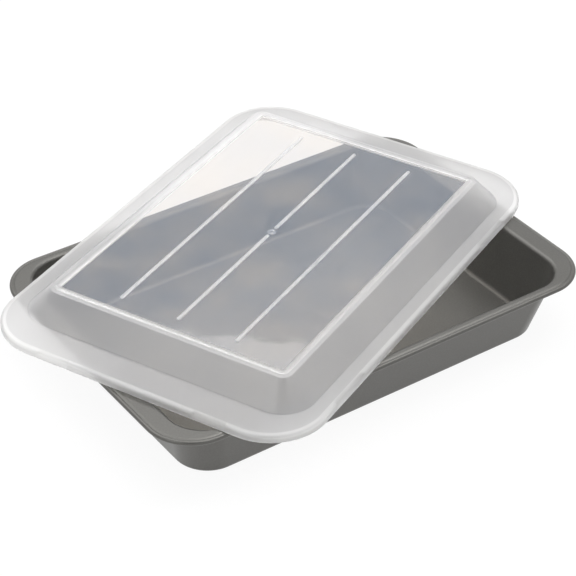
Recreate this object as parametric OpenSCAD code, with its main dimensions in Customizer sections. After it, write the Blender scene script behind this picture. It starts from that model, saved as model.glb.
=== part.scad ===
// Oblong cake pan with its domed lid, which lies askew and loose on the rim.
// The origin is the centre of the pan's underside, X runs along the pan and +Z is up.

/* [Pan] */
// Inside length of the pan, wall to wall at the top
pan_inside_l = 330; // [260:1:400]
// Inside width of the pan, wall to wall at the top
pan_inside_w = 230; // [180:1:280]
// Height of the rim above the table
pan_h = 51; // [38:0.5:80]
// Thickness of the pressed sheet
sheet = 0.9; // [0.6:0.05:1.2]
// Inset of each wall from the rim down to the table
wall_inset = 11.8; // [6:0.1:16]
// Radius of the upright corners, on the inside
pan_corner_r = 26; // [20:0.5:40]
// Inside radius where the walls turn into the floor
floor_r = 4; // [3:0.1:8]
// Radius of the bend from the walls into the flange
flange_bend_r = 3.2; // [2:0.1:4]

/* [Rolled rim] */
// Reach of the flange past the inside at the short ends, which serve as grips
grip_reach = 18; // [14:0.5:26]
// Reach of the flange past the inside along the long sides
side_reach = 9; // [8.5:0.5:20]
// Outside radius of the flange at its corners
rim_corner_r = 36; // [32:0.5:44]
// Outside diameter of the bead that the sheet's edge is rolled into
bead_d = 3.6; // [3:0.1:4.4]
// Drop of the bead's top below the flange, which leaves a groove between them
bead_drop = 0.3; // [0.1:0.05:0.6]
// Turn of the rolled edge, round the outside and back under the flange
bead_turn = 290; // [260:5:310]

/* [Lid] */
// Thickness of the moulded plastic
lid_wall = 1.2; // [0.8:0.05:1.6]
// Clearance on each side between the closed lid's skirt and the pan's bead
lid_play = 3.2; // [0.3:0.1:4]
// Depth of the skirt round the edge of the lid
skirt_h = 5.4; // [4.8:0.1:12]
// Outside radius of the lid at its corners
lid_corner_r = 43; // [38:0.5:48]
// Rounding of the edge between skirt and flange
lid_edge_r = 2.4; // [1.8:0.1:2.8]
// Width of the lid's flange at the short ends, skirt included
end_flange_w = 26.3; // [20:0.1:32]
// Width of the lid's flange along the long sides, skirt included
side_flange_w = 13.3; // [11:0.1:20]
// Outside radius of the dome's foot at its corners
foot_corner_r = 25.3; // [24.8:0.1:32]
// Horizontal run of the dome's sloping wall
dome_run = 16.9; // [12:0.1:17.4]
// Height of the land round the window above the skirt's lower edge
land_h = 23.8; // [16:0.1:40]
// Radius of the bend from the flange up into the dome
foot_r = 1.5; // [1:0.1:3]
// Rounding of the dome's upper edge
shoulder_r = 2; // [1.8:0.1:3]

/* [Snaps] */
// Length of the two snaps on the near long side
long_snap_l = 37; // [20:1:50]
// Length of the two snaps on the near short side
short_snap_l = 24; // [14:1:30]
// Distance from a long side's snap to the round corner
long_snap_gap = 17.2; // [8:0.2:30]
// Distance from a short side's snap to the round corner
short_snap_gap = 10.2; // [6:0.2:20]
// How far a snap's sloping face starts inside the lid's edge
snap_in = 4; // [3:0.2:5]
// Height of the upright strip left below a snap's sloping face
snap_foot_h = 1; // [0.6:0.1:2]

/* [Window] */
// Width of the half-round bead that frames the window
frame_bead_w = 4.4; // [3:0.1:4.8]
// Rise of the framing bead above the land
frame_bead_h = 1.2; // [0.6:0.1:1.4]
// Width of the flat land between the framing bead and the dome's edge
land_w = 3; // [2.2:0.1:3.4]
// Depth of the window below the land
window_drop = 0.4; // [0.1:0.1:1]
// Number of stiffening ribs
ribs = 3; // [1:2:5]
// Distance between neighbouring ribs
rib_pitch = 47.2; // [20:0.2:60]
// Distance from each end of a rib to the framing bead
rib_end_gap = 11; // [4:0.5:30]
// Width of a rib
rib_w = 3; // [2:0.1:5]
// Rise of a rib above the window
rib_h = 0.9; // [0.5:0.1:1.4]
// Diameter of the round gate mark in the middle
gate_d = 6.4; // [4:0.2:10]
// Clear gap between the gate mark and the middle rib
gate_gap = 1.4; // [0.6:0.1:4]

/* [Lid as it lies] */
// Turn of the lid on the pan, about the vertical
lid_turn = 24.2; // [0:0.2:30]
// Place of the lid's middle along the pan
lid_x = -3.7; // [-12:0.1:12]
// Place of the lid's middle across the pan
lid_y = 24.8; // [10:0.1:30]

/* [Hidden] */
$fn = 96;
// Signs of the four corners, in order round the rim
CORNERS = [[1, 1], [-1, 1], [-1, -1], [1, -1]];
// Places where two pieces of one solid meet lie on a grid of a thousandth of a millimetre
function grid(v) = round(1000 * v) / 1000;
// Points of an arc in a section, both ends included
ARC_STEPS = 6;
function arc(centre, r, from, to) =
    [for (i = [0:ARC_STEPS]) centre + r * [cos(from + (to - from) * i / ARC_STEPS),
        sin(from + (to - from) * i / ARC_STEPS)]];
// Depth to which one piece of a solid runs into the next, so that they are one
root = 0.3;

// Pan: run of the walls for each millimetre of height, and their angle away from upright
run = round(100 * wall_inset / pan_h) / 100;
lean = atan(run);
wall_t = grid(sheet / cos(lean));
// Pan: heights of the centres of the floor's and the flange's bends
low = round(10 * (sheet + floor_r)) / 10;
high = round(10 * (pan_h - flange_bend_r)) / 10;
// Pan: inside of the walls at those heights, as [half length, half width]
inside_high = [for (size = [pan_inside_l, pan_inside_w]) grid(size / 2 - (pan_h - high) * run)];
inside_low = inside_high - run * (high - low) * [1, 1];
// Pan: centres of the upright corners at those heights
centre_high = inside_high - pan_corner_r * [1, 1];
centre_low = inside_low - pan_corner_r * [1, 1];
// Pan: distance from those centres to where the flange runs level
flange_x = grid(pan_corner_r + (pan_h - high) / cos(lean));
// Pan: half size of the rim over its bead
rim = [pan_inside_l / 2 + grip_reach, pan_inside_w / 2 + side_reach];
bead_r = bead_d / 2;

// Lid: half size over the skirt
lid_half = rim + (lid_play + lid_wall) * [1, 1];
// Lid: half size of the dome at its foot
foot_half = lid_half - [end_flange_w, side_flange_w];
// Lid: slope of the dome's wall, from level
slope = atan((land_h - skirt_h) / dome_run);
// Lid: distances from the dome's corner centres, at the dome's edge, the bead and the window
edge_x = foot_corner_r - dome_run;
frame_bead_x = edge_x - land_w - frame_bead_w / 2;
window_x = frame_bead_x - frame_bead_w / 2;
window_half = foot_half - (foot_corner_r - window_x) * [1, 1];
window_z = land_h - window_drop;
rib_l = 2 * (window_half[0] - rib_end_gap);
// Lid: centres of the bends at the dome's foot and shoulder, from the dome's corner centres
foot_centre = [grid(foot_corner_r + foot_r * tan(slope / 2)), skirt_h + foot_r];
shoulder_centre = [grid(edge_x - shoulder_r * tan(slope / 2)), land_h - shoulder_r];

// Plate with round corners, from half sizes
module round_plate(half, r) {
    square([2 * half[0], 2 * (half[1] - r)], center = true);
    square([2 * (half[0] - r), 2 * half[1]], center = true);
    for (c = CORNERS)
        translate([c[0] * (half[0] - r), c[1] * (half[1] - r)]) circle(r);
}

// Frame between two such outlines, which may have different corners
module round_frame(outer, outer_r, inner, inner_r) {
    difference() {
        round_plate(outer, outer_r);
        round_plate(inner, inner_r);
    }
}

// Outline of a half-round bead that stands on y = 0, from its right edge to its left one
function bead_outline(w, h) =
    let (r = (w * w / 4 + h * h) / (2 * h), half = asin(w / (2 * r)))
        arc([0, h - r], r, 90 - half, 90 + half);

// Section of such a bead, with its root
module bead_section(w, h) {
    polygon(concat([[-w / 2, -root], [w / 2, -root]], bead_outline(w, h)));
}

// Sweeps a section, drawn at its distance from the corner centres, round the four centres
module sweep_round(centre) {
    for (i = [0:3])
        translate([CORNERS[i][0] * centre[0], CORNERS[i][1] * centre[1], 0])
            rotate([0, 0, 90 * i]) rotate_extrude(angle = 90) children();
    for (half_turn = [0, 180])
        rotate([0, 0, half_turn]) {
            translate([-centre[0], centre[1], 0])
                rotate([90, 0, 90]) linear_extrude(2 * centre[0]) children();
            translate([centre[0], centre[1], 0])
                rotate([90, 0, 0]) linear_extrude(2 * centre[1]) children();
        }
}

// Section of the floor's edge and the bend up into the wall
module floor_bend() {
    centre = [grid(pan_corner_r - (low - sheet) / cos(lean)), low];
    polygon(concat([[0, sheet]], arc(centre, low - sheet, -90, -lean),
        [[pan_corner_r, low], [pan_corner_r + wall_t, low]], arc(centre, low, -lean, -90), [[0, 0]]));
}

// Section of the wall's top and the bend out into the flange
module flange_bend() {
    centre = [flange_x, high];
    polygon(concat([[pan_corner_r, high]], arc(centre, pan_h - high, 180 - lean, 90),
        arc(centre, pan_h - high - sheet, 90, 180 - lean), [[pan_corner_r + wall_t, high]]));
}

// Straight part of the wall on the +Y side, between the two bends. Its ends slope as the
// corners do: out_low and out_high are its inside, end_low and end_high half its length.
module leaning_side(out_low, out_high, end_low, end_high) {
    intersection() {
        rotate([90, 0, 90])
            linear_extrude(2 * end_high, center = true)
                polygon([[out_low, low], [out_low + wall_t, low], [out_high + wall_t, high], [out_high, high]]);
        rotate([90, 0, 0])
            linear_extrude(4 * out_high, center = true)
                polygon([[-end_low, low], [end_low, low], [end_high, high], [-end_high, high]]);
    }
}

// The leaning walls between the two bends. The corners keep one radius all the way up,
// so each is an upright quarter tube, sheared outwards along both of its walls.
module leaning_walls() {
    for (c = CORNERS)
        mirror([c[0] < 0 ? 1 : 0, 0, 0]) mirror([0, c[1] < 0 ? 1 : 0, 0])
            translate([centre_low[0], centre_low[1], low])
                multmatrix([[1, 0, run, 0], [0, 1, run, 0], [0, 0, 1, 0], [0, 0, 0, 1]])
                    rotate_extrude(angle = 90)
                        translate([pan_corner_r, 0]) square([wall_t, high - low]);
    for (half_turn = [0, 180])
        rotate([0, 0, half_turn]) {
            leaning_side(inside_low[1], inside_high[1], centre_low[0], centre_high[0]);
            rotate([0, 0, 90]) leaning_side(inside_low[0], inside_high[0], centre_low[1], centre_high[1]);
        }
}

// Section of the sheet's rolled edge: a tube with a gap on its inner side, under the flange
module rolled_edge() {
    start = 150;
    stop = start - bead_turn + 360;
    difference() {
        circle(bead_r);
        circle(bead_r - sheet);
        polygon(concat([[0, 0]], [for (a = [start, (start + stop) / 2, stop]) bead_d * [cos(a), sin(a)]]));
    }
}

module pan() {
    color([0.44, 0.43, 0.41]) {
        linear_extrude(sheet) square(2 * centre_low, center = true);
        sweep_round(centre_low) floor_bend();
        leaning_walls();
        sweep_round(centre_high) flange_bend();
        translate([0, 0, pan_h - sheet])
            linear_extrude(sheet)
                round_frame(rim - (bead_d - sheet) * [1, 1], rim_corner_r - bead_d + sheet,
                    centre_high + flange_x * [1, 1], flange_x);
        sweep_round(rim - rim_corner_r * [1, 1])
            translate([rim_corner_r - bead_r, pan_h - bead_drop - bead_r]) rolled_edge();
    }
}

// Section of the skirt, with the round edge that turns it into the flange
module skirt() {
    centre = [lid_corner_r, skirt_h] - lid_edge_r * [1, 1];
    polygon(concat([[lid_corner_r - lid_wall, 0], [lid_corner_r, 0]], arc(centre, lid_edge_r, 0, 90),
        [[centre[0] - root, skirt_h], [centre[0] - root, skirt_h - lid_wall]],
        arc(centre, lid_edge_r - lid_wall, 90, 0)));
}

// Section of a snap's sloping face, drawn from the lid's edge
module snap_face() {
    along = [snap_in, snap_foot_h - skirt_h] / norm([snap_in, snap_foot_h - skirt_h]);
    into = lid_wall * [along[1], -along[0]];
    polygon([[-snap_in, skirt_h], [0, snap_foot_h], into + [0, snap_foot_h], into + [-snap_in, skirt_h]]);
}

// Section of the space outside that face
module snap_cut() {
    polygon([[-snap_in, skirt_h], [0, snap_foot_h], [1, snap_foot_h], [1, skirt_h + 1], [-snap_in, skirt_h + 1]]);
}

// Section of the cheek that closes each end of a snap, between the skirt, the flange and the face
module snap_cheek() {
    mid = lid_wall / 2;
    polygon(concat([[-snap_in, skirt_h - mid], [-mid, snap_foot_h + mid]],
        arc([-lid_edge_r, skirt_h - lid_edge_r], lid_edge_r - mid, 0, 90)));
}

// Puts a section at each snap, as long as the snap and what it is lengthened by at both ends.
// The snaps are on the -Y and the -X side of the lid.
module at_snaps(extra) {
    long_x = lid_half[0] - lid_corner_r - long_snap_gap - long_snap_l / 2;
    short_y = lid_half[1] - lid_corner_r - short_snap_gap - short_snap_l / 2;
    rotate([0, 0, 180])
        for (s = [-1, 1]) {
            translate([s * long_x, lid_half[1], 0])
                rotate([90, 0, 90]) linear_extrude(long_snap_l + 2 * extra, center = true) children();
            translate([lid_half[0], s * short_y, 0])
                rotate([90, 0, 0]) linear_extrude(short_snap_l + 2 * extra, center = true) children();
        }
}

// Section of the dome: foot, sloping wall, shoulder, land and the bead round the window
module dome() {
    polygon(concat([[foot_centre[0] + root, skirt_h]],
        arc(foot_centre, foot_r, 270, 270 - slope),
        arc(shoulder_centre, shoulder_r, 90 - slope, 90),
        [for (point = bead_outline(frame_bead_w, frame_bead_h)) [frame_bead_x, land_h] + point],
        [[window_x, window_z - lid_wall], [frame_bead_x + frame_bead_w / 2, window_z - lid_wall],
            [frame_bead_x + frame_bead_w / 2, land_h - lid_wall]],
        arc(shoulder_centre, shoulder_r - lid_wall, 90, 90 - slope),
        arc(foot_centre, foot_r + lid_wall, 270 - slope, 270),
        [[foot_centre[0] + root, skirt_h - lid_wall]]));
}

// A half-round rib along X with round ends, from one place to another
module rib(from, to) {
    rotate([90, 0, 90])
        translate([0, 0, from + rib_w / 2]) linear_extrude(to - from - rib_w) bead_section(rib_w, rib_h);
    for (end = [[from + rib_w / 2, 90], [to - rib_w / 2, -90]])
        translate([end[0], 0, 0]) rotate([0, 0, end[1]])
            rotate_extrude(angle = 180)
                intersection() {
                    bead_section(rib_w, rib_h);
                    translate([0, -rib_w]) square([rib_w, 2 * rib_w]);
                }
}

module window() {
    translate([0, 0, window_z - lid_wall])
        linear_extrude(lid_wall) round_plate(window_half + root * [1, 1], window_x + root);
    clear = gate_d / 2 + gate_gap;
    translate([0, 0, window_z]) {
        for (i = [0:ribs - 1])
            translate([0, (i - (ribs - 1) / 2) * rib_pitch, 0])
                if (i == (ribs - 1) / 2) {
                    rib(-rib_l / 2, -clear);
                    rib(clear, rib_l / 2);
                } else {
                    rib(-rib_l / 2, rib_l / 2);
                }
        rotate_extrude()
            translate([gate_d / 2 - rib_h, 0]) bead_section(2 * rib_h, rib_h / 2);
    }
}

module lid() {
    corner = foot_half - foot_corner_r * [1, 1];
    color([0.86, 0.86, 0.85])
        translate([lid_x, lid_y, pan_h]) rotate([0, 0, lid_turn]) {
            difference() {
                union() {
                    sweep_round(lid_half - lid_corner_r * [1, 1]) skirt();
                    translate([0, 0, skirt_h - lid_wall])
                        linear_extrude(lid_wall)
                            round_frame(lid_half - lid_edge_r * [1, 1], lid_corner_r - lid_edge_r,
                                corner + foot_centre[0] * [1, 1], foot_centre[0]);
                    at_snaps(lid_wall) snap_cheek();
                }
                at_snaps(0) snap_cut();
            }
            at_snaps(lid_wall) snap_face();
            sweep_round(corner) dome();
            window();
        }
}

pan();
lid();
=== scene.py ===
import math

import bmesh
import bpy
from mathutils import Matrix, Vector


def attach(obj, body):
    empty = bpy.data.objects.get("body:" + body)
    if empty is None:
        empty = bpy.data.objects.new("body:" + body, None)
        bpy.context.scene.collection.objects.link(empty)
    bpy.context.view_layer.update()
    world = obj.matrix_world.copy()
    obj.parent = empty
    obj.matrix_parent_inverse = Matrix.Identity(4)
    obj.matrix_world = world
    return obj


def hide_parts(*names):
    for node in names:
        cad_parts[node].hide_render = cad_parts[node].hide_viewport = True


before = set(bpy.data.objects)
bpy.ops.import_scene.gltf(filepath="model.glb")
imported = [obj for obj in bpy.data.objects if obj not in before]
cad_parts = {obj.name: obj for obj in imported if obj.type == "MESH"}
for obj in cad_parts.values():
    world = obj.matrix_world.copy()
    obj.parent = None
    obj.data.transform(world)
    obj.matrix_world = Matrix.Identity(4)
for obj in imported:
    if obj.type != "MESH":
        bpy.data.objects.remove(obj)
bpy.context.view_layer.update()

# The pieces are measured in mm and degrees, the lamps, room and floor in metres.
MM = 0.001

# Pan: one sheet of coated steel, pressed into a tray with leaning walls. Its corners keep
# one radius all the way up. The edge is bent out into a flat flange and rolled under.
pan_inside, pan_h = (165, 115), 51
sheet = 0.9
wall_run = 0.23
wall_lean = math.degrees(math.atan(wall_run))
upright_r, floor_bend_r, flange_bend_r = 26, 4, 3.2
rim_half, rim_r = (183, 124), 36
roll_r, roll_drop = 1.8, 0.3
roll_start, roll_stop, roll_mouth = 122, -140, 140
flange_dip = ((4.7, 0), (4.3, 0.02), (3.95, 0.1), (3.6, 0.26), (3.2, 0.46), (2.86, 0.6))
under_dip = ((3.3, 0.25), (4.2, 0))
floor_fill, mark_gap = 0.1, 0.5
CORNER_STEPS, ROLL_STEPS, HOLLOW_STEPS = 28, 26, 20


def bend(centre, radius, start, stop, steps=10):
    """Points of an arc in a section, both ends included."""
    turns = [math.radians(start + (stop - start) * i / steps) for i in range(steps + 1)]
    return [(centre[0] + radius * math.cos(a), centre[1] + radius * math.sin(a)) for a in turns]


def ring_round(centre, reach, z):
    """A ring given by the centres of its corners and its distance from them."""
    return [centre[0] + reach, centre[1] + reach, reach, z, 0, 0]


def ring_inside(half, radius, inset, z, shift=0, lift=0):
    """A ring given by its distance inside an outline, and how far a snap moves it out and up."""
    return [half[0] - inset, half[1] - inset, radius - inset, z, shift, lift]


def hold_flats(rings, edge=0.06, widest=2.0):
    """Adds a ring close to both ends of each wide band, so that flat bands shade flat."""
    held = [rings[0]]
    for a, b in zip(rings, rings[1:]):
        width = math.hypot(b[0] - a[0], b[3] - a[3])
        if width > widest:
            for share in (edge / width, 1 - edge / width):
                held.append([p + share * (q - p) for p, q in zip(a, b)])
        held.append(b)
    return held


def points_round(ring, marks):
    """The points of a ring: its corners, and the marks along each straight side between them."""
    half_l, half_w, r, z, shift, lift = ring
    points = []
    for side, (sx, sy) in enumerate(((1, 1), (-1, 1), (-1, -1), (1, -1))):
        for i in range(CORNER_STEPS + 1):
            a = math.radians(90 * side + 90 * i / CORNER_STEPS)
            points.append((sx * (half_l - r) + r * math.cos(a), sy * (half_w - r) + r * math.sin(a), z))
        reach, along = ((half_w, half_l - r), (half_l, half_w - r))[side % 2]
        turn = Matrix.Rotation(math.radians(90 * (side + 1)), 2)
        for place, snapped in marks(along, side):
            p = turn @ Vector((reach + shift * snapped, place))
            points.append((p.x, p.y, z + lift * snapped))
    return points


def tube_faces(count, n):
    """Faces that join a number of rings of n points each, and last the two that fill in the ends."""
    faces = []
    for k in range(count - 1):
        for i in range(n):
            j = (i + 1) % n
            faces.append((k * n + i, k * n + j, (k + 1) * n + j, (k + 1) * n + i))
    return faces + [list(range(n)), list(range((count - 1) * n, count * n))]


def finished(name, points, faces, place=Matrix(), numbers=(), crease=50):
    """Makes a piece from points in mm and puts it in its place. Turns every face outwards, shades
    it smooth between its creases and shows it. numbers holds the material number of each face."""
    mesh = bpy.data.meshes.new(name)
    mesh.from_pydata([place @ (MM * Vector(p)) for p in points], [], faces)
    if numbers:
        mesh.polygons.foreach_set("material_index", numbers)
    solid = bmesh.new()
    solid.from_mesh(mesh)
    bmesh.ops.recalc_face_normals(solid, faces=solid.faces)
    solid.to_mesh(mesh)
    solid.free()
    mesh.polygons.foreach_set("use_smooth", [True] * len(mesh.polygons))
    mesh.set_sharp_from_angle(angle=math.radians(crease))
    piece = bpy.data.objects.new(name, mesh)
    bpy.context.scene.collection.objects.link(piece)
    return piece


def shell(name, rings, marks, kinds, place=Matrix()):
    """Joins rings into a closed shell, filled in across its first and last ring.
    kinds holds the material number of each band of faces, and last that of the two fillings."""
    points = [p for ring in rings for p in points_round(ring, marks)]
    n = len(points) // len(rings)
    numbers = [kinds[k] for k in range(len(rings) - 1) for i in range(n)] + [kinds[-1], kinds[-1]]
    return finished(name, points, tube_faces(len(rings), n), place, numbers)


def straight_marks(along, side):
    """Marks near both ends of a straight side, so that it shades straight."""
    return [(-along + mark_gap, 0), (along - mark_gap, 0)]


def pan_rings():
    """Once round the sheet's section: up the inside, over the roll, and back under to the floor."""
    cos_lean = math.cos(math.radians(wall_lean))
    low, high = sheet + floor_bend_r, pan_h - flange_bend_r
    upper = [h - (pan_h - high) * wall_run - upright_r for h in pan_inside]
    lower = [c - (high - low) * wall_run for c in upper]
    floor_x = upright_r - floor_bend_r / cos_lean
    flange_x = upright_r + flange_bend_r / cos_lean
    rings = [ring_round(lower, d, z) for d, z in bend((floor_x, low), floor_bend_r, -90, -wall_lean)]
    rings += [ring_round(lower, upright_r, low), ring_round(upper, upright_r, high)]
    rings += [ring_round(upper, d, z)
              for d, z in bend((flange_x, high), flange_bend_r, 180 - wall_lean, 90)]
    rings += [ring_inside(rim_half, rim_r, inset, pan_h - drop) for inset, drop in flange_dip]
    roll_z = pan_h - roll_drop - roll_r
    rings += [ring_inside(rim_half, rim_r, roll_r - x, z)
              for x, z in bend((0, roll_z), roll_r, roll_start, roll_stop, ROLL_STEPS)]
    rings += [ring_inside(rim_half, rim_r, roll_r - x, z)
              for x, z in bend((0, roll_z), roll_r - sheet, roll_stop, roll_mouth, HOLLOW_STEPS)]
    rings += [ring_inside(rim_half, rim_r, inset, pan_h - sheet - drop) for inset, drop in under_dip]
    rings += [ring_round(upper, d, z)
              for d, z in bend((flange_x, high), flange_bend_r - sheet, 90, 180 - wall_lean)]
    wall_x = upright_r + sheet / cos_lean
    rings += [ring_round(upper, wall_x, high), ring_round(lower, wall_x, low)]
    rings += [ring_round(lower, d, z)
              for d, z in bend((floor_x, low), floor_bend_r + sheet, -wall_lean, -90)]
    rings.insert(0, ring_round(lower, floor_x - floor_fill, sheet))
    rings.append(ring_round(lower, floor_x - floor_fill, 0))
    return hold_flats(rings)


def node_adder(owner):
    """Empties the nodes of a material or world. Returns a function that adds a node with its
    settings and inputs, where i0 and i1 stand for the first and the second input."""
    owner.use_nodes = True
    tree = owner.node_tree
    tree.nodes.clear()

    def add(kind, settings=(), **inputs):
        node = tree.nodes.new(kind)
        for key, value in dict(settings).items():
            setattr(node, key, value)
        for key, value in inputs.items():
            numbered = key[0] == "i" and key[1:].isdigit()
            socket = node.inputs[int(key[1:]) if numbered else key.replace("_", " ")]
            if isinstance(value, bpy.types.NodeSocket):
                tree.links.new(value, socket)
            else:
                socket.default_value = value
        return node

    return add


def coated_steel():
    """Grey baked-on coat with a fine metal fleck, satin, a little uneven in gloss."""
    material = bpy.data.materials.new("coated_steel")
    add = node_adder(material)
    where = add("ShaderNodeTexCoord").outputs["Object"]
    fleck = add("ShaderNodeTexNoise", Vector=where, Scale=900.0, Detail=2.0, Roughness=0.6)
    cloud = add("ShaderNodeTexNoise", Vector=where, Scale=22.0, Detail=3.0, Roughness=0.55)
    mottle = add("ShaderNodeMath", {"operation": "MULTIPLY_ADD"}, i0=cloud.outputs["Fac"], i1=0.3,
                 i2=fleck.outputs["Fac"])
    coat = add("ShaderNodeValToRGB", Fac=mottle.outputs[0])
    coat.color_ramp.elements[0].position = 0.35
    coat.color_ramp.elements[0].color = (0.1, 0.098, 0.091, 1)
    coat.color_ramp.elements[1].position = 0.95
    coat.color_ramp.elements[1].color = (0.134, 0.131, 0.122, 1)
    gloss = add("ShaderNodeMapRange", Value=cloud.outputs["Fac"], To_Min=0.28, To_Max=0.34)
    grain = add("ShaderNodeBump", Strength=0.1, Distance=0.00001, Height=fleck.outputs["Fac"])
    sheen = add("ShaderNodeBsdfPrincipled", Base_Color=coat.outputs["Color"], Metallic=0.5,
                Roughness=gloss.outputs[0], Normal=grain.outputs[0])
    add("ShaderNodeOutputMaterial", Surface=sheen.outputs[0])
    return material


rings = pan_rings()
pressed_pan = shell("pressed_pan", rings, straight_marks, [0] * len(rings))
pressed_pan.data.materials.append(coated_steel())
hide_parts("pan")
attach(pressed_pan, "root")

# Lid: one moulding of natural plastic, clear in its window, smooth on the bead round it and
# finely frosted on its dome and flange. Its skirt turns into a sloping face at four snaps.
# It is turned on the pan and lies loose on the pan's flange.
lid_half, lid_r, lid_wall = (187.4, 128.4), 43, 1.2
skirt_h, lid_edge_r = 5.4, 2.4
dome_centre, foot_reach, dome_run, land_h = (135.8, 89.8), 25.3, 16.9, 23.8
dome_slope = math.degrees(math.atan2(land_h - skirt_h, dome_run))
foot_r, shoulder_r = 1.5, 2
skirt_mid = 2.2
snap_in, snap_foot, snap_step = 4, 1, 1.6
flange_hold, under_rise = 0.15, 0.3
snap_ends = {1: (51.2, 75.2), 2: (90.2, 127.2)}
frame_bead, bead_ease = (3.2, 4.4, 1.2), 0.3
window_reach, window_drop, window_inset = 1, 0.4, 0.25
window_ease = ((0.6, 0), (0.25, 0), (0.1, 0.02), (0, 0.12))
skirt_foot = ((0, 0.3), (0.06, 0.1), (0.25, 0),
              (lid_wall - 0.25, 0), (lid_wall - 0.06, 0.1), (lid_wall, 0.25))
lid_middle, lid_turn = Vector((-3.7, 24.8, pan_h)), 24.2
lid_place = Matrix.Translation(MM * lid_middle) @ Matrix.Rotation(math.radians(lid_turn), 4, "Z")
FROSTED, SMOOTH, CLEAR, FLANGE, EDGE = 0, 1, 2, 3, 4


def snap_marks(along, side):
    """Marks where each snap of a side begins and ends, each with one beside it on the skirt."""
    marks = straight_marks(along, side)
    if side in snap_ends:
        near, far = snap_ends[side]
        for end in (-1, 1):
            marks += [(end * (near - snap_step), 0), (end * near, 1),
                      (end * far, 1), (end * (far + snap_step), 0)]
    return sorted(marks)


def lid_edge(profile, foot, top):
    """Rings of the lid's edge. At a snap they move onto the sloping face from foot to top."""
    length = sum(math.dist(p, q) for p, q in zip(profile, profile[1:]))
    rings, gone = [], 0
    for k, (inset, z) in enumerate(profile):
        gone += math.dist(profile[k - 1], (inset, z)) if k else 0
        share = gone / length
        slope = [f + share * (t - f) for f, t in zip(foot, top)]
        rings.append(ring_inside(lid_half, lid_r, inset, z, inset - slope[0], slope[1] - z))
    return rings


def round_top(centre, width, height, steps=14):
    """The arc of a half-round bead on the window side of the dome, from its outer foot inwards."""
    r = (width ** 2 / 4 + height ** 2) / (2 * height)
    half = math.degrees(math.asin(width / 2 / r))
    return bend((centre, land_h + height - r), r, 90 - half, 90 + half, steps)


def lid_rings():
    """Once through the lid's section: from the window's top out over the dome, round the
    skirt's lower edge and back under to the window's underside. Returns rings and kinds."""
    slope = dome_slope
    tangent = math.tan(math.radians(slope / 2))
    foot = (foot_reach + foot_r * tangent, skirt_h + foot_r)
    shoulder = (foot_reach - dome_run - shoulder_r * tangent, land_h - shoulder_r)
    window_top = land_h - window_drop
    parts = []
    parts.append((CLEAR, [ring_round(dome_centre, window_reach - inset, window_top + rise)
                          for inset, rise in window_ease]))
    bead = round_top(*frame_bead)
    parts.append((SMOOTH, [ring_round(dome_centre, d, z) for d, z in reversed(bead)]))
    parts.append((FROSTED, [ring_round(dome_centre, d, z) for d, z in (
        bend(shoulder, shoulder_r, 90, 90 - slope) + bend(foot, foot_r, 270 - slope, 270)[:1])]))
    parts.append((FLANGE, [ring_round(dome_centre, d, z)
                           for d, z in bend(foot, foot_r, 270 - slope, 270)[1:]]))
    edge_centre = (0, skirt_h - lid_edge_r)
    over = ([(snap_in, skirt_h)]
            + [(lid_edge_r - x, z) for x, z in bend(edge_centre, lid_edge_r, 90, 0)]
            + [(0, skirt_mid), (0, snap_foot)])
    parts.append((EDGE, [ring_inside(lid_half, lid_r, snap_in + flange_hold, skirt_h)]
                  + lid_edge(over, (snap_in, skirt_h), (0, snap_foot))))
    parts.append((EDGE, [ring_inside(lid_half, lid_r, inset, z) for inset, z in skirt_foot]))
    run = math.hypot(snap_in, skirt_h - snap_foot)
    under_foot = (lid_wall, snap_foot - lid_wall * snap_in / run + under_rise)
    under_top_z = skirt_h - lid_wall
    under_top_x = under_foot[0] + (under_top_z - under_foot[1]) * snap_in / (skirt_h - snap_foot)
    under_top = (under_top_x, under_top_z)
    under = ([under_foot, (lid_wall, skirt_mid)]
             + [(lid_edge_r - x, z) for x, z in bend(edge_centre, lid_edge_r - lid_wall, 0, 90)]
             + [under_top])
    parts.append((EDGE, lid_edge(under, under_foot, under_top)))
    parts.append((FROSTED, [ring_round(dome_centre, d, z) for d, z in (
        bend(foot, foot_r + lid_wall, 270, 270 - slope)
        + bend(shoulder, shoulder_r - lid_wall, 90 - slope, 90))]))
    bead_x = frame_bead[0] + frame_bead[1] / 2
    parts.append((SMOOTH, [ring_round(dome_centre, bead_x + bead_ease, land_h - lid_wall),
                           ring_round(dome_centre, bead_x, window_top - lid_wall),
                           ring_round(dome_centre, window_reach, window_top - lid_wall)]))
    parts.append((CLEAR, [ring_round(dome_centre, window_reach - window_inset, window_top - lid_wall)]))
    rings, kinds = [], []
    for kind, some in parts:
        for ring in some:
            rings.append(ring)
            kinds.append(kind)
    held, numbers = [rings[0]], []
    for k in range(len(rings) - 1):
        more = hold_flats([rings[k], rings[k + 1]])[1:]
        held += more
        numbers += [kinds[k]] * len(more)
    return held, numbers + [CLEAR]


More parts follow.
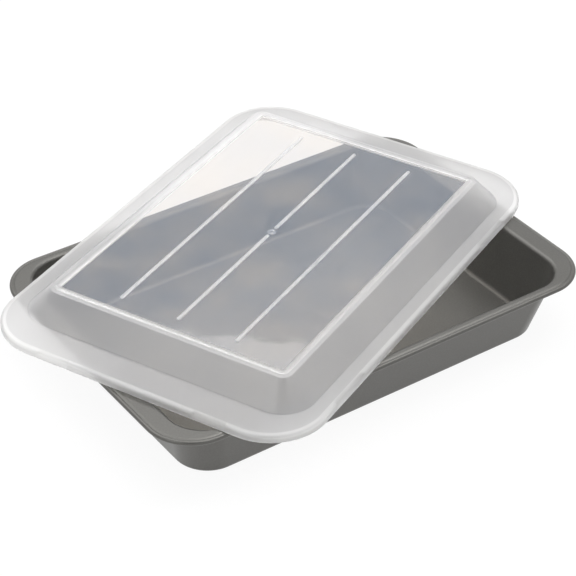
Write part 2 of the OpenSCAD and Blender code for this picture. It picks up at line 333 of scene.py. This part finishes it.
def lid_plastic(name, tint, roughness, hazes, shares, dimples, passes):
    """Natural plastic: tinted glass that blurs what lies behind it by its roughness, with a pale
    haze in it. hazes are the two colours of the haze and shares the least and most of it, in
    patches. dimples are how many there are to a metre and how deep they are. passes is the
    share of the lamps' and the room's light that each surface lets through to the pan."""
    material = bpy.data.materials.new(name)
    add = node_adder(material)
    where = add("ShaderNodeTexCoord").outputs["Object"]
    patches = add("ShaderNodeTexNoise", Vector=where, Scale=20.0, Detail=3.0, Roughness=0.55)
    flow = add("ShaderNodeTexNoise", Vector=where, Scale=dimples[0], Detail=1.5, Roughness=0.4)
    dimple = add("ShaderNodeBump", Strength=1.0, Distance=dimples[1], Height=flow.outputs["Fac"])
    glass = add("ShaderNodeBsdfPrincipled", Base_Color=(*tint, 1), Roughness=roughness, IOR=1.49,
                Transmission_Weight=1.0, Normal=dimple.outputs[0])
    shade = add("ShaderNodeValToRGB", Fac=patches.outputs["Fac"])
    for stop, place, colour in zip(shade.color_ramp.elements, (0.35, 0.65), hazes):
        stop.position = place
        stop.color = (*colour, 1)
    milk = add("ShaderNodeBsdfDiffuse", Color=shade.outputs["Color"], Normal=dimple.outputs[0])
    share = add("ShaderNodeMapRange", Value=patches.outputs["Fac"], From_Min=0.3, From_Max=0.7,
                To_Min=shares[0], To_Max=shares[1])
    plastic = add("ShaderNodeMixShader", Fac=share.outputs[0], i1=glass.outputs[0], i2=milk.outputs[0])
    clear_way = add("ShaderNodeBsdfTransparent", Color=(*passes, 1))
    path = add("ShaderNodeLightPath")
    both = add("ShaderNodeMixShader", Fac=path.outputs["Is Shadow Ray"], i1=plastic.outputs[0],
               i2=clear_way.outputs[0])
    add("ShaderNodeOutputMaterial", Surface=both.outputs[0])
    return material


# In the order of FROSTED, SMOOTH, CLEAR, FLANGE and EDGE. The flange has the darkest tint, which is painted
# shade:
# through it the paper under the lid's rim looks shaded. The round edge has the most haze.
lid_materials = [
    lid_plastic("frosted_plastic", tint=(0.93, 0.915, 0.895), roughness=0.32,
                hazes=((0.76, 0.77, 0.81), (0.79, 0.79, 0.81)), shares=(0.15, 0.175),
                dimples=(60, 0.00003), passes=(0.94, 0.94, 0.94)),
    lid_plastic("smooth_plastic", tint=(0.9, 0.89, 0.88), roughness=0.43,
                hazes=((0.8, 0.8, 0.81), (0.82, 0.82, 0.83)), shares=(0.14, 0.16),
                dimples=(60, 0.000003), passes=(0.95, 0.95, 0.95)),
    lid_plastic("clear_plastic", tint=(0.91, 0.853, 0.79), roughness=0.03,
                hazes=((0.54, 0.64, 0.8), (0.69, 0.71, 0.76)), shares=(0.095, 0.13),
                dimples=(25, 0.0001), passes=(0.95, 0.96, 0.97)),
    # Painted shade: a darker copy of the frosted plastic, so that what lies under the flange looks shaded.
    lid_plastic("flange_plastic_painted_shade", tint=(0.62, 0.612, 0.604), roughness=0.55,
                hazes=((0.76, 0.765, 0.83), (0.78, 0.78, 0.82)), shares=(0.055, 0.075),
                dimples=(60, 0.00003), passes=(0.94, 0.94, 0.94)),
    lid_plastic("edge_plastic", tint=(0.93, 0.92, 0.9), roughness=0.3,
                hazes=((0.72, 0.72, 0.73), (0.72, 0.72, 0.72)), shares=(0.3, 0.32),
                dimples=(60, 0.000005), passes=(0.94, 0.94, 0.94)),
]
rings, kinds = lid_rings()
domed_lid = shell("domed_lid", rings, snap_marks, kinds, lid_place)
for material in lid_materials:
    domed_lid.data.materials.append(material)
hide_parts("lid")
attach(domed_lid, "root")

# Ribs: three half-round bars with round ends, of the lid's plastic and moulded in one with
# the top of its window. The middle one stops on both sides of the gate mark.
rib_w, rib_h, rib_pitch, rib_end = 3, 0.9, 47.2, 125.8
gate_r, gate_gap = 3.2, 1.4
window_z = land_h - window_drop
root = 0.1


def half_round_bar(name, start, stop, y):
    """A half-round bar along X with round ends, rooted a little in the window."""
    arc, ends, base = 12, 8, window_z - root
    stations = [(start + rib_w / 2 * (1 - math.cos(a)), math.sin(a))
                for a in (math.pi / 2 * i / ends for i in range(1, ends + 1))]
    stations += [(stop - x + start, s) for x, s in reversed(stations)]
    points = []
    for x, size in stations:
        for i in range(arc + 1):
            a = math.pi * i / arc
            across, up = rib_w / 2 * size * math.cos(a), (rib_h + root) * size * math.sin(a)
            points.append((x, y + across, base + up))
    return finished(name, points, tube_faces(len(stations), arc + 1), lid_place)


rib_stop = gate_r + gate_gap
bars = [("rib_front", -rib_end, rib_end, -rib_pitch), ("rib_middle_left", -rib_end, -rib_stop, 0),
        ("rib_middle_right", rib_stop, rib_end, 0), ("rib_back", -rib_end, rib_end, rib_pitch)]
for name, start, stop, y in bars:
    rib = half_round_bar(name, start, stop, y)
    rib.data.materials.append(lid_materials[SMOOTH])
    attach(rib, "root")

# Gate mark: the round scar in the middle of the window where the plastic entered the mould,
# a low ring with a nub in it. It is of the window's own clear plastic.
gate_ring = ((0, -root), (0, 0.05), (0.3, 0.38), (0.8, 0.45), (1.3, 0.3), (1.6, 0.08))
gate_nub = ((1.0, 0.06), (0.8, 0.5), (0.3, 0.6))


def turned(name, profile, steps=40):
    """A profile of radii and heights, turned about the upright through the lid's middle."""
    turns = [2 * math.pi * i / steps for i in range(steps)]
    points = [(r * math.cos(a), r * math.sin(a), z) for a in turns for r, z in profile]
    n = len(profile)
    faces = [(i * n + k, i * n + k + 1, (i + 1) % steps * n + k + 1, (i + 1) % steps * n + k)
             for i in range(steps) for k in range(n - 1)]
    faces += [[i * n for i in range(steps)], [i * n + n - 1 for i in range(steps)]]
    return finished(name, points, faces, lid_place)


gate_profile = [(gate_r - inset, window_z + rise) for inset, rise in gate_ring]
gate_profile += [(r, window_z + rise) for r, rise in gate_nub]
gate_mark = turned("gate_mark", gate_profile)
gate_mark.data.materials.append(lid_materials[CLEAR])
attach(gate_mark, "root")

# Stage: the object stands on white paper in a white room. A wide level panel hangs over it, a
# narrow strip is high on the right, and one panel on each side lights its front. Its
# reflections also show a darker part of the room, above the camera.
lift, shadow_white, paper_white = 0.92, 0.09, 0.8
aim = (0, 0, 0.05)
lamps = (("left_panel", (-1.75, -0.65, 1.2), (1.0, 1.3), 1.3),
         ("right_panel", (-0.1, -1.7, 1.6), (0.45, 0.8), 1.6),
         ("narrow_strip", (0.77, -0.29, 1.42), (0.2, 1.4), 5.5))
floor_size, floor_drop = 12, 0.0001
ceiling_size, ceiling_light, ceiling_h = (2.6, 2.4), 1.68, 1.5
ceiling_turn, ceiling_side, ceiling_edge = 42.8, -0.5, 1.706
room_light, room_white = 0.5, 1.0
dusk_way, dusk_begins, dusk_full = (-0.381, -0.528, 0.759), 0.88, 0.96


def showing(add, path):
    """1 for a ray from the camera, off gloss or through plastic, which shows what it meets. 0 for
    the others, which only carry light."""
    shown = path.outputs["Is Camera Ray"]
    for way in ("Is Glossy Ray", "Is Transmission Ray"):
        shown = add("ShaderNodeMath", {"operation": "MAXIMUM"}, i0=shown, i1=path.outputs[way]).outputs[0]
    return shown


def white_stage():
    """White paper. Where it is seen it is nearly white by itself and keeps a faint shadow, and
    for the light that it throws back on the object it is plain paper."""
    material = bpy.data.materials.new("white_paper")
    add = node_adder(material)
    path = add("ShaderNodeLightPath")
    paper = add("ShaderNodeBsdfDiffuse", Color=(paper_white, paper_white, paper_white, 1))
    shaded = add("ShaderNodeBsdfDiffuse", Color=(shadow_white, shadow_white, shadow_white, 1))
    glow = add("ShaderNodeEmission", Color=(1, 1, 1, 1), Strength=lift)
    shown = add("ShaderNodeAddShader", i0=shaded.outputs[0], i1=glow.outputs[0])
    both = add("ShaderNodeMixShader", Fac=showing(add, path), i1=paper.outputs[0], i2=shown.outputs[0])
    add("ShaderNodeOutputMaterial", Surface=both.outputs[0])
    return material


def plane(name, size, centre):
    """A level square, its size and centre in metres."""
    half = size / 2
    mesh = bpy.data.meshes.new(name)
    mesh.from_pydata([(x * half + centre[0], y * half + centre[1], centre[2])
                      for x, y in ((-1, -1), (1, -1), (1, 1), (-1, 1))], [], [(0, 1, 2, 3)])
    piece = bpy.data.objects.new(name, mesh)
    bpy.context.scene.collection.objects.link(piece)
    return piece


floor = plane("floor", floor_size, (0, 0, -floor_drop))
floor.data.materials.append(white_stage())


def soft_panel(name, place, size, brightness):
    """An oblong panel lamp that faces the object. brightness is what a mirror would show of it."""
    lamp = bpy.data.lights.new(name, "AREA")
    lamp.shape = "RECTANGLE"
    lamp.size, lamp.size_y = size
    lamp.energy = brightness * math.pi * size[0] * size[1]
    panel = bpy.data.objects.new(name, lamp)
    panel.location = place
    panel.rotation_euler = (Vector(place) - Vector(aim)).to_track_quat("Z", "Y").to_euler()
    bpy.context.scene.collection.objects.link(panel)
    return panel


# The ceiling panel faces straight down. The window's front corner mirrors one of its edges.
ceiling = soft_panel("ceiling_panel", (0, 0, ceiling_h), ceiling_size, ceiling_light)
ceiling_shift = Matrix.Translation((ceiling_side, ceiling_edge - ceiling_size[1] / 2, ceiling_h))
ceiling.matrix_world = Matrix.Rotation(math.radians(ceiling_turn) - math.pi / 2, 4, "Z") @ ceiling_shift
for name, place, size, brightness in lamps:
    soft_panel(name, place, size, brightness)


def white_room():
    """A room that is white where it is seen and lights the object half as much. Off gloss it
    fades to black towards dusk_way."""
    world = bpy.data.worlds.new("white_room")
    add = node_adder(world)
    path = add("ShaderNodeLightPath")
    white = add("ShaderNodeMapRange", Value=showing(add, path), To_Min=room_light, To_Max=room_white)
    where = add("ShaderNodeTexCoord").outputs["Generated"]
    toward = add("ShaderNodeVectorMath", {"operation": "DOT_PRODUCT"}, i0=where, i1=dusk_way)
    dusk = add("ShaderNodeMapRange", Value=toward.outputs["Value"], From_Min=dusk_begins,
               From_Max=dusk_full, To_Min=0.0, To_Max=1.0)
    glossy_dusk = add("ShaderNodeMath", {"operation": "MULTIPLY"}, i0=dusk.outputs[0],
                      i1=path.outputs["Is Glossy Ray"])
    level = add("ShaderNodeMath", {"operation": "SUBTRACT"}, i0=white.outputs[0], i1=glossy_dusk.outputs[0])
    background = add("ShaderNodeBackground", Strength=level.outputs[0])
    add("ShaderNodeOutputWorld", Surface=background.outputs[0])
    return world


bpy.context.scene.world = white_room()

# Camera: a long lens from the front left and above, about 1.5 m away. Its place and its focal
# length, in pixels of the photograph, were solved from the photograph's outlines.
turn, height, roll = math.radians(-35.8), math.radians(35.824), math.radians(0.923)
lens_px, image_px, sensor_mm = 1994.637, 576, 36
look_at, distance = MM * Vector((1.661, 10.791, 30)), MM * 1477.377
back = Vector((math.sin(turn) * math.cos(height), -math.cos(turn) * math.cos(height), math.sin(height)))
right = Vector((math.cos(turn), math.sin(turn), 0))
up = back.cross(right)
rolled_right = math.cos(roll) * right + math.sin(roll) * up
rolled_up = math.cos(roll) * up - math.sin(roll) * right
lens = bpy.data.cameras.new("camera")
lens.sensor_width = sensor_mm
lens.lens = lens_px / image_px * sensor_mm
lens.clip_end = 50
camera = bpy.data.objects.new("camera", lens)
pose = Matrix((rolled_right, rolled_up, back)).transposed().to_4x4()
pose.translation = look_at + distance * back
camera.matrix_world = pose
bpy.context.scene.collection.objects.link(camera)
bpy.context.scene.camera = camera
bpy.context.scene.view_settings.view_transform = "Standard"
